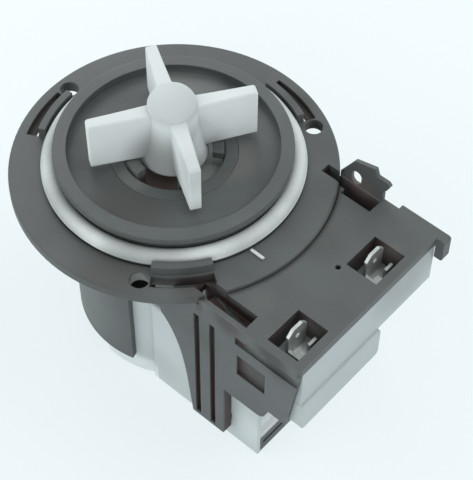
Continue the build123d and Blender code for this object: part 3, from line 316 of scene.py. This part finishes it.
def drawnMetal(name, look):
    # rolling lines, tarnish clouds and bright rounded edges
    material, tree, shader, coords = newMaterial(name)
    lines = noise(tree, stretched(tree, coords, look["grainWay"]), look["grainScale"],
                  metal["lineDetail"])
    clouds = noise(tree, coords, look["tarnishScale"], metal["tarnishDetail"])
    tarnished = ranged(tree, clouds, *metal["tarnishRange"], last=look["tarnishShare"])
    colour = mixColour(tree, times(tree, lines, metal["lineShare"]), look["colour"],
                       scaled(look["colour"], metal["lineShade"]))
    colour = mixColour(tree, tarnished, colour, look["tarnish"])
    rounded, edge = edgeMask(tree, look["edgeRadius"], *metal["edgeTurn"])
    colour = mixColour(tree, times(tree, edge, metal["edgeShare"]), colour,
                       scaled(look["colour"], metal["edgeShine"]))
    finishShader(tree, shader, {
        "Base Color": colour,
        "Normal": raised(tree, lines, metal["bump"], metal["bumpHeight"], rounded),
        "Roughness": calc(tree, "MULTIPLY_ADD", tarnished, metal["tarnishRough"],
                          look["roughness"]),
        "Metallic": look["metallic"]})
    return material


layers = {"middle": 0.5, "jointRange": (0.3, 0.5), "jointShare": 0.7, "darkest": 0.85,
          "palest": 1.12, "tarnishDetail": 4.0, "bump": 0.6}


def layered(name, look):
    # sheets or turns stacked along one axis, each a little darker at its joint
    material, tree, shader, coords = newMaterial(name)
    along = calc(tree, "DIVIDE", splitAxes(tree, coords)[look["axis"]], look["pitch"])
    fromMiddle = calc(tree, "SUBTRACT", calc(tree, "FRACT", along), layers["middle"])
    saw = calc(tree, "ABSOLUTE", fromMiddle)
    joint = ranged(tree, saw, *layers["jointRange"])
    clouds = noise(tree, coords, look["tarnishScale"], layers["tarnishDetail"])
    layer = addNode(tree, "ShaderNodeTexWhiteNoise", {"noise_dimensions": "1D"},
                    W=calc(tree, "FLOOR", along))
    colour = mixColour(tree, layer.outputs[0], scaled(look["colour"], layers["darkest"]),
                       scaled(look["colour"], layers["palest"]))
    colour = mixColour(tree, times(tree, clouds, look["tarnishShare"]), colour, look["tarnish"])
    colour = mixColour(tree, times(tree, joint, layers["jointShare"]), colour, look["joint"])
    finishShader(tree, shader, {
        "Base Color": colour,
        "Normal": raised(tree, saw, layers["bump"], look["depth"], sunk=True),
        "Roughness": look["roughness"],
        "Metallic": look["metallic"]})
    return material


darkLook = {"colour": ink(82, 86, 86), "mottle": 0.17, "cloudScale": 42.0, "flow": (1.0, 1.0, 0.25),
            "speck": ink(136, 140, 139), "speckShare": 0.35, "edge": ink(140, 145, 144),
            "edgeWear": 0.7, "edgeRadius": 0.35 * mm, "grainScale": 5200.0, "grain": 0.5,
            "roughness": 0.5, "gloss": 0.38, "shadeAndGrime": ink(42, 36, 35), "shadeAndGrimeReach": 1.3 * mm,
            "shadeAndGrimeShare": 0.6}
headLook = dict(darkLook, edgeWear=0.4, stainsAndPaintedLight=[
    band(32.1, 37.6, 0.8, (70, 61, 59), (-1.2, -0.3)),  # darker, brownish in the lug windows: painted shade with dust
    spot((29.5, -24.5, -0.5), 1.0, 8.0, 0.5, (56, 47, 45)),  # painted shade by two of the lugs
    spot((10.5, 33.8, 0), 1.0, 6.0, 0.5, (60, 52, 50)),
    spot((-12.9, 20.6, 4.5), 4.0, 13.0, 0.8, (108, 112, 111), (5.0, 6.0)),  # painted light and shade on the plug floor, lighter at the back and right, darker at the front
    spot((12.8, 6.5, 4.5), 3.0, 9.0, 0.7, (106, 107, 105), (5.0, 6.0)),
    spot((4.0, -20.0, 4.5), 3.0, 13.0, 0.6, (72, 71, 69), (5.0, 6.0)),
    spot((-15.5, -17.5, 4.5), 3.0, 12.0, 0.9, (62, 65, 64), (5.0, 6.0)),
    spot((12.0, -33.8, 0), 2.0, 13.0, 0.8, (72, 73, 72)),  # painted shade on the flange by the front screw
    spot((15.8, -30.1, -3), 2.0, 3.5, 0.8, (150, 152, 150), (-0.6, -0.1)),  # painted light inside that screw's hole
    spot((33.4, -7.9, 0.5), 1.5, 2.5, 0.9, (226, 232, 232), (0.35, 0.15)),  # paler top of the index rib
])
capLook = dict(darkLook, shadeAndGrimeShare=0.35, stainsAndPaintedLight=[
    spot((9, 5.5, 1.5), 4.0, 10.0, 0.85, (150, 156, 154), (3.4, 4.2)),  # moat where light falls in
    # painted light on the post
    spot((-1, -12, 5), 2.0, 6.0, 0.6, (118, 122, 120)),
    spot((2.5, -8.2, 1.2), 2.5, 8.0, 0.75, (92, 76, 70), (3.4, 4.2)),  # painted light in the moat
])
coverLook = dict(darkLook, colour=ink(83, 87, 87), flow=(0.3, 1.0, 1.0), speckShare=0.25, stainsAndPaintedLight=[
    band(39.8, 40.5, 0.55, (50, 44, 42), (-3.6, -8.0), 0.9),  # painted shadow along the flange's step
    box((28, -24.9, -53), (43.5, -20, -3.2), 0.85, (62, 43, 38), (2.5, 0.05, 0.05)),  # painted shade in the leg grooves
    box((34, 21.5, -14), (43.3, 24.9, -1.5), 0.75, (84, 70, 67)),  # painted shade in the slot by the ear
    box((49.6, -23.4, -9.5), (58.7, -12.4, -1.5), 0.75, (74, 64, 62)),  # painted shade in the front terminal's pocket
    box((49.6, 4.3, -9.5), (58.7, 15.5, -1.5), 0.75, (74, 62, 60)),  # painted shade in the back terminal's pocket
    box((43, -25.3, -20.6), (53, -24.3, -12.2), 0.65, (50, 42, 40)),  # painted shade in the blind recess
    spot((54.5, -25.5, -6.6), 1.0, 5.5, 0.55, (44, 40, 40)),  # side wall under the front pocket
    spot((38, 24.8, -1), 1.5, 5.5, 0.7, (106, 97, 94)),  # painted light at the foot of the ear
    spot((-11, -24, -38), 6.0, 20.0, 0.7, (104, 111, 110)),  # painted light on the skirt
    spot((41, 5.8, -1.2), 2.0, 9.0, 0.6, (72, 76, 75)),  # cloudy plate
    spot((41.5, -16.4, -1.2), 1.0, 6.0, 0.5, (96, 99, 98)),
    spot((39.5, -25.5, -2.2), 1.0, 6.5, 0.8, (56, 48, 46), (-1.7, -1.25)),  # painted shade under the plate's edge
    spot((52.6, -25.5, -2.2), 1.5, 6.5, 0.85, (54, 53, 53), (-1.7, -1.25)),
    spot((55.5, 15.2, -5), 2.0, 5.0, 0.7, (116, 108, 105)),  # painted light on the back walls of the pockets
    spot((53.5, -12.6, -6.5), 2.0, 5.0, 0.6, (122, 118, 116)),
    spot((31.9, -25.5, -14.8), 1.0, 8.0, 0.8, (74, 76, 75)),  # painted shade on the gusset
])
paleLook = {"colour": ink(200, 209, 211), "mottle": 0.035, "cloudScale": 38.0,
            "flow": (1.0, 1.0, 0.2), "speck": ink(178, 184, 184), "speckShare": 0.3,
            "edge": ink(236, 242, 242), "edgeWear": 0.8, "edgeRadius": 0.4 * mm,
            "grainScale": 4200.0, "grain": 0.35, "roughness": 0.46, "gloss": 0.5,
            "shadeAndGrime": ink(150, 152, 150), "shadeAndGrimeReach": 2.0 * mm, "shadeAndGrimeShare": 0.5}
coilLook = dict(paleLook, colour=ink(187, 196, 198), stainsAndPaintedLight=[
    band(23.0, 26.0, 0.6, (238, 246, 248), (-52.5, -50.0)),  # painted light on the arc wall under the skirt
    box((20, -12.5, -25), (40, -9, -23.5), 0.9, (200, 168, 158), (2, 1.5, 0.5)),  # seen in the slot
    spot((43, -22.4, -48.5), 2.0, 9.0, 0.6, (206, 215, 216)),  # painted light by the yoke
    spot((14.7, -22.4, -48.1), 2.0, 9.0, 0.5, (172, 178, 180)),  # painted shade by the skirt
])
blockLook = dict(paleLook, colour=ink(172, 181, 183), edge=ink(208, 215, 215), stainsAndPaintedLight=[
    spot((62, 13, -4), 5.0, 16.0, 0.85, (150, 157, 159)),  # painted shade at the far end
])
impellerLook = dict(
    paleLook, colour=ink(222, 230, 231), mottle=0.03, edgeRadius=0.5 * mm, roughness=0.62,
    gloss=0.3, stainsAndPaintedLight=[
        spot((0, 0, 5), 6.5, 15.5, 0.85, (124, 128, 127)),  # painted shade on the foot of the hub
        spot((0, 0, 22), 5.0, 7.5, 0.65, (174, 182, 183)),  # painted shade on the dome
        spot((15.8, -11.6, 18), 2.0, 9.0, 0.6, (186, 193, 194)),  # painted shade on the front vane
        spot((7, 3, 10), 2.0, 6.0, 0.6, (226, 234, 235)),  # painted light on the hub's right side
        spot((8, 9.5, 15), 3.0, 9.0, 0.5, (240, 248, 249)),  # painted light on the right vane
        spot((0, 0, 20), 20.0, 24.0, 0.45, (196, 203, 204), (19.9, 19.5)),  # painted shade on the vane tops
    ])
sealLook = {
    "dark": ink(174, 182, 181), "pale": ink(216, 224, 223), "hazeScale": 60.0, "roughness": 0.6,
    "stainsAndPaintedLight": [
        spot((15.9, -25.2, 1.4), 5.0, 14.0, 0.55, (152, 158, 157)),  # painted shade on the near side
        spot((23, 20, 1.4), 7.0, 17.0, 0.8, (216, 224, 223)),  # painted light on the right
        spot((30, -3, 3.3), 2.0, 9.0, 0.3, (176, 183, 182)),  # greyer by the plate
    ]}
rubberLook = {"dark": ink(28, 28, 29), "pale": ink(52, 52, 54), "hazeScale": 120.0,
              "roughness": 0.7}
leadLook = {"dark": ink(196, 200, 200), "pale": ink(228, 230, 228), "hazeScale": 150.0,
            "roughness": 0.5}
steelLook = {"colour": ink(196, 198, 200), "grainWay": (0.2, 0.2, 6.0), "grainScale": 500.0,
             "tarnish": ink(120, 116, 110), "tarnishScale": 120.0, "tarnishShare": 0.3,
             "roughness": 0.22, "edgeRadius": 0.15 * mm, "metallic": 1.0}
tinLook = {"colour": ink(200, 205, 203), "grainWay": (1.0, 6.0, 0.3), "grainScale": 900.0,
           "tarnish": ink(112, 110, 104), "tarnishScale": 260.0, "tarnishShare": 0.5,
           "roughness": 0.34, "edgeRadius": 0.12 * mm, "metallic": 0.7}
bronzeLook = dict(steelLook, colour=ink(176, 134, 88), tarnish=ink(92, 66, 44), roughness=0.42)
ferriteLook = dict(steelLook, colour=ink(66, 64, 64), tarnish=ink(40, 38, 38), roughness=0.6,
                   metallic=0.25)
ironLook = {"axis": 2, "pitch": 0.5 * mm, "colour": ink(226, 231, 232), "joint": ink(150, 152, 152),
            "tarnish": ink(178, 174, 166), "tarnishScale": 70.0, "tarnishShare": 0.35,
            "depth": 0.06 * mm, "roughness": 0.45, "metallic": 0.6}
copperLook = {"axis": 0, "pitch": 0.32 * mm, "colour": ink(190, 104, 62), "joint": ink(84, 36, 20),
              "tarnish": ink(150, 84, 40), "tarnishScale": 90.0, "tarnishShare": 0.5,
              "depth": 0.1 * mm, "roughness": 0.34, "metallic": 0.8}

# each finish: how it is made, its look, and the nodes that wear it
finishes = {
    "headPlastic": (mouldedPlastic, headLook, ["pump_head"]),
    "coverPlastic": (mouldedPlastic, coverLook, ["motor_cover"]),
    "capPlastic": (mouldedPlastic, capLook, ["front_bearing_cap"]),
    "darkPlastic": (mouldedPlastic, darkLook, ["yoke_keeper"]),
    "coilPlastic": (mouldedPlastic, coilLook, ["coil_moulding"]),
    "palePlastic": (mouldedPlastic, paleLook, ["front_bobbin", "back_bobbin", "magnet_carrier"]),
    "blockPlastic": (mouldedPlastic, blockLook, ["terminal_block"]),
    "impellerPlastic": (mouldedPlastic, impellerLook,
                        ["impeller", "impeller_retainer", "drive_dog"]),
    "sealRubber": (softRubber, sealLook, ["plug_seal"]),
    "blackRubber": (softRubber, rubberLook,
                    ["cap_ring", "shaft_seal", "front_bush_seat", "rear_bush_seat",
                     "stop_bumpers"]),
    "leadSleeve": (softRubber, leadLook, ["front_lead", "back_lead"]),
    "coreSheets": (layered, ironLook, ["stator_core", "core_yoke"]),
    "copperTurns": (layered, copperLook, ["front_winding", "back_winding", "coil_link"]),
    "groundSteel": (drawnMetal, steelLook,
                    ["rotor_shaft", "core_rivets", "front_thrust_washer", "rear_thrust_washer"]),
    "tinnedBrass": (drawnMetal, tinLook, ["front_terminal", "back_terminal"]),
    "bushBronze": (drawnMetal, bronzeLook, ["front_bush", "rear_bush"]),
    "magnetFerrite": (drawnMetal, ferriteLook, ["rotor_magnet"]),
}
materials = {}
for name, (make, look, wearers) in finishes.items():
    materials[name] = make(name, look)
    for wearer in wearers:
        for slot in nodes[wearer].material_slots:
            slot.material = materials[name]
print("finishes made:", len(materials))


def geometryTree(name, sizes):
    # a tree with one named float or whole-number input per size
    tree = bpy.data.node_groups.new(name, "GeometryNodeTree")
    tree.interface.new_socket("Geometry", in_out="OUTPUT", socket_type="NodeSocketGeometry")
    for key, value in sizes.items():
        kind = "NodeSocketInt" if isinstance(value, int) else "NodeSocketFloat"
        tree.interface.new_socket(key, in_out="INPUT", socket_type=kind)
    start, end = tree.nodes.new("NodeGroupInput"), tree.nodes.new("NodeGroupOutput")
    return tree, start.outputs, end.inputs[0]


def closeTree(tree, geometry, end, material):
    real = addNode(tree, "GeometryNodeRealizeInstances", Geometry=geometry)
    painted = addNode(tree, "GeometryNodeSetMaterial", Geometry=real.outputs[0], Material=material)
    tree.links.new(painted.outputs[0], end)


def plainMesh(name, tree, sizes, smooth=True):
    # run the tree once and keep its result as an ordinary mesh
    carrier = bpy.data.objects.new(name + "Carrier", bpy.data.meshes.new(name + "Carrier"))
    bpy.context.scene.collection.objects.link(carrier)
    modifier = carrier.modifiers.new(name, "NODES")
    modifier.node_group = tree
    for item in tree.interface.items_tree:
        if item.in_out == "INPUT" and item.name in sizes:
            modifier[item.identifier] = sizes[item.name]
    depsgraph = bpy.context.evaluated_depsgraph_get()
    mesh = bpy.data.meshes.new_from_object(carrier.evaluated_get(depsgraph))
    mesh.name = name
    carrier.modifiers.remove(modifier)
    bpy.data.objects.remove(carrier)
    piece = bpy.data.objects.new(name, mesh)
    bpy.context.scene.collection.objects.link(piece)
    for polygon in mesh.polygons:
        polygon.use_smooth = smooth
    return piece


# pale round sealing ring with the thin flash line of its mould
low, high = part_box("plug_seal")
sealRing = {"outerRadius": high.x, "cord": (high.z - low.z) / 2, "flashOut": 0.16 * mm,
            "flashHeight": 0.28 * mm, "around": 220, "section": 32}
tree, given, end = geometryTree("sealRingTree", sealRing)
path = addNode(tree, "GeometryNodeCurvePrimitiveCircle", Resolution=given["around"],
               Radius=calc(tree, "SUBTRACT", given["outerRadius"], given["cord"]))
roundCord = addNode(tree, "GeometryNodeCurvePrimitiveCircle", Resolution=given["section"],
                    Radius=given["cord"])
flashPath = addNode(tree, "GeometryNodeCurvePrimitiveCircle", Resolution=given["around"],
                    Radius=given["outerRadius"])
flashBand = addNode(tree, "GeometryNodeCurvePrimitiveQuadrilateral",
                    Width=times(tree, given["flashOut"], 2.0), Height=given["flashHeight"])
both = addNode(tree, "GeometryNodeJoinGeometry")
for line, section in ((path, roundCord), (flashPath, flashBand)):
    swept = addNode(tree, "GeometryNodeCurveToMesh", Curve=line.outputs[0],
                    **{"Profile Curve": section.outputs[0]})
    tree.links.new(swept.outputs[0], both.inputs[0])
lifted = addNode(tree, "GeometryNodeTransform", Geometry=both.outputs[0],
                 Translation=(0, 0, (low.z + high.z) / 2))
closeTree(tree, lifted.outputs[0], end, materials["sealRubber"])
ring = plainMesh("sealRing", tree, sealRing)
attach(ring, "housing")
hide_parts("plug_seal")
print("seal ring made")

# the yoke as the stack of sheets that it is, each a hair out of line
low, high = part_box("core_yoke")
yokeStack = {"sheets": 40, "sheetShare": 0.86, "slip": 0.05 * mm, "seed": 7}
yokeStack.update(pitch=(high.z - low.z) / yokeStack["sheets"], length=high.y - low.y,
                 width=high.x - low.x - yokeStack["slip"])
tree, given, end = geometryTree("yokeStackTree", yokeStack)
rise = addNode(tree, "ShaderNodeCombineXYZ", Z=given["pitch"])
line = addNode(tree, "GeometryNodeMeshLine", Count=given["sheets"], Offset=rise.outputs[0],
               **{"Start Location": ((low.x + high.x) / 2 - yokeStack["slip"], 0,
                                     low.z + yokeStack["pitch"] / 2)})
size = addNode(tree, "ShaderNodeCombineXYZ", X=given["width"], Y=given["length"],
               Z=times(tree, given["pitch"], given["sheetShare"]))
sheet = addNode(tree, "GeometryNodeMeshCube", Size=size.outputs[0])
copies = addNode(tree, "GeometryNodeInstanceOnPoints", Points=line.outputs[0],
                 Instance=sheet.outputs["Mesh"])
wander = addNode(tree, "FunctionNodeRandomValue", {"data_type": "FLOAT"}, Seed=given["seed"])
for index, value in ((2, times(tree, given["slip"], -1.0)), (3, given["slip"])):  # its float bounds
    tree.links.new(value, wander.inputs[index])
nudge = addNode(tree, "ShaderNodeCombineXYZ", X=wander.outputs[1])
moved = addNode(tree, "GeometryNodeTranslateInstances", Instances=copies.outputs[0],
                Translation=nudge.outputs[0])
closeTree(tree, moved.outputs[0], end, materials["coreSheets"])
stack = plainMesh("yokeSheets", tree, yokeStack, smooth=False)
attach(stack, "housing")
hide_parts("core_yoke")
print("yoke sheets made")

# stage: pale floor at the pump's foot, white round about
stageLook = {"floorZ": cadBox[0].z, "floorSize": 6.0, "floorRoughness": 0.9, "floorGlow": 0.75,
             "white": ink(242, 251, 253), "worldLight": 0.58, "fullWhite": 1.0}
bpy.ops.mesh.primitive_plane_add(size=stageLook["floorSize"], location=(0, 0, stageLook["floorZ"]))
floor = bpy.context.object
floor.name = "floor"
floor.data.materials.append(bpy.data.materials.new("floorPaper"))


def straightRays(tree):
    # 1 for what the camera, a gloss or a glass sees, 0 for the light on the pump
    rays = tree.nodes.new("ShaderNodeLightPath").outputs
    return calc(tree, "MAXIMUM", rays["Is Camera Ray"],
                calc(tree, "MAXIMUM", rays["Is Glossy Ray"], rays["Is Transmission Ray"]))


def blendShaders(tree, share, first, second, out):
    choose = tree.nodes.new("ShaderNodeMixShader")
    for socket, source in zip(choose.inputs, (share, first.outputs[0], second.outputs[0])):
        tree.links.new(source, socket)
    tree.links.new(choose.outputs[0], out.inputs[0])


# the paper keeps the shadow, thinned by a share of plain white
tree = emptyTree(floor.data.materials[0])
paper = addNode(tree, "ShaderNodeBsdfDiffuse", Color=stageLook["white"],
                Roughness=stageLook["floorRoughness"])
bright = addNode(tree, "ShaderNodeEmission", Color=stageLook["white"],
                 Strength=stageLook["fullWhite"])
blendShaders(tree, times(tree, straightRays(tree), stageLook["floorGlow"]), paper, bright,
             tree.nodes.new("ShaderNodeOutputMaterial"))

world = bpy.data.worlds.new("room")
bpy.context.scene.world = world
tree = emptyTree(world)
glow = addNode(tree, "ShaderNodeBackground", Color=(1, 1, 1, 1), Strength=stageLook["worldLight"])
seen = addNode(tree, "ShaderNodeBackground", Color=stageLook["white"],
               Strength=stageLook["fullWhite"])
blendShaders(tree, straightRays(tree), glow, seen, tree.nodes.new("ShaderNodeOutputWorld"))

# way each soft lamp shines from, in degrees, its strength and its softness
lamps = {"leftLamp": {"azimuth": 225.0, "height": 24.0, "strength": 0.75, "softness": 50.0},
         "frontLamp": {"azimuth": -58.0, "height": 14.0, "strength": 0.85, "softness": 60.0},
         "rightLamp": {"azimuth": 50.0, "height": 48.0, "strength": 0.9, "softness": 50.0}}
window = {"azimuth": 150.0, "height": 34.0, "distance": 0.32, "size": 0.2, "power": 0.32}


def wayFrom(azimuth, height):
    azimuth, height = math.radians(azimuth), math.radians(height)
    return Vector((math.cos(azimuth) * math.cos(height), math.sin(azimuth) * math.cos(height),
                   math.sin(height)))


def hangLamp(name, kind, way, distance, power):
    light = bpy.data.objects.new(name, bpy.data.lights.new(name, kind))
    light.data.energy = power
    light.rotation_mode = "QUATERNION"
    light.rotation_quaternion = way.to_track_quat("Z", "Y")
    light.location = way * distance
    light.visible_camera = False
    bpy.context.scene.collection.objects.link(light)
    return light.data


for name, lamp in lamps.items():
    way = wayFrom(lamp["azimuth"], lamp["height"])
    soft = hangLamp(name, "SUN", way, 1.0, lamp["strength"])
    soft.angle = math.radians(lamp["softness"])
pane = hangLamp("windowLamp", "AREA", wayFrom(window["azimuth"], window["height"]),
                window["distance"], window["power"])
pane.size = window["size"]
print("stage and light made")

# camera fitted to the flange, plug and plate edges of the photograph
shot = {"target": at(26.88, -7.83, 0), "azimuth": -49.04, "elevation": 52.61, "roll": 0.572,
        "distance": 352.13 * mm, "lens": 114.0, "sensor": 36.0, "near": 0.01, "far": 20}
away = wayFrom(shot["azimuth"], shot["elevation"])
camera = bpy.data.objects.new("camera", bpy.data.cameras.new("camera"))
camera.data.lens = shot["lens"]
camera.data.sensor_width = shot["sensor"]
camera.data.clip_start, camera.data.clip_end = shot["near"], shot["far"]
camera.location = Vector(shot["target"]) + away * shot["distance"]
camera.rotation_mode = "QUATERNION"
camera.rotation_quaternion = ((-away).to_track_quat("-Z", "Y")
                              @ Quaternion((0, 0, 1), math.radians(shot["roll"])))
bpy.context.scene.collection.objects.link(camera)
bpy.context.scene.camera = camera
bpy.context.scene.view_settings.view_transform = "Standard"
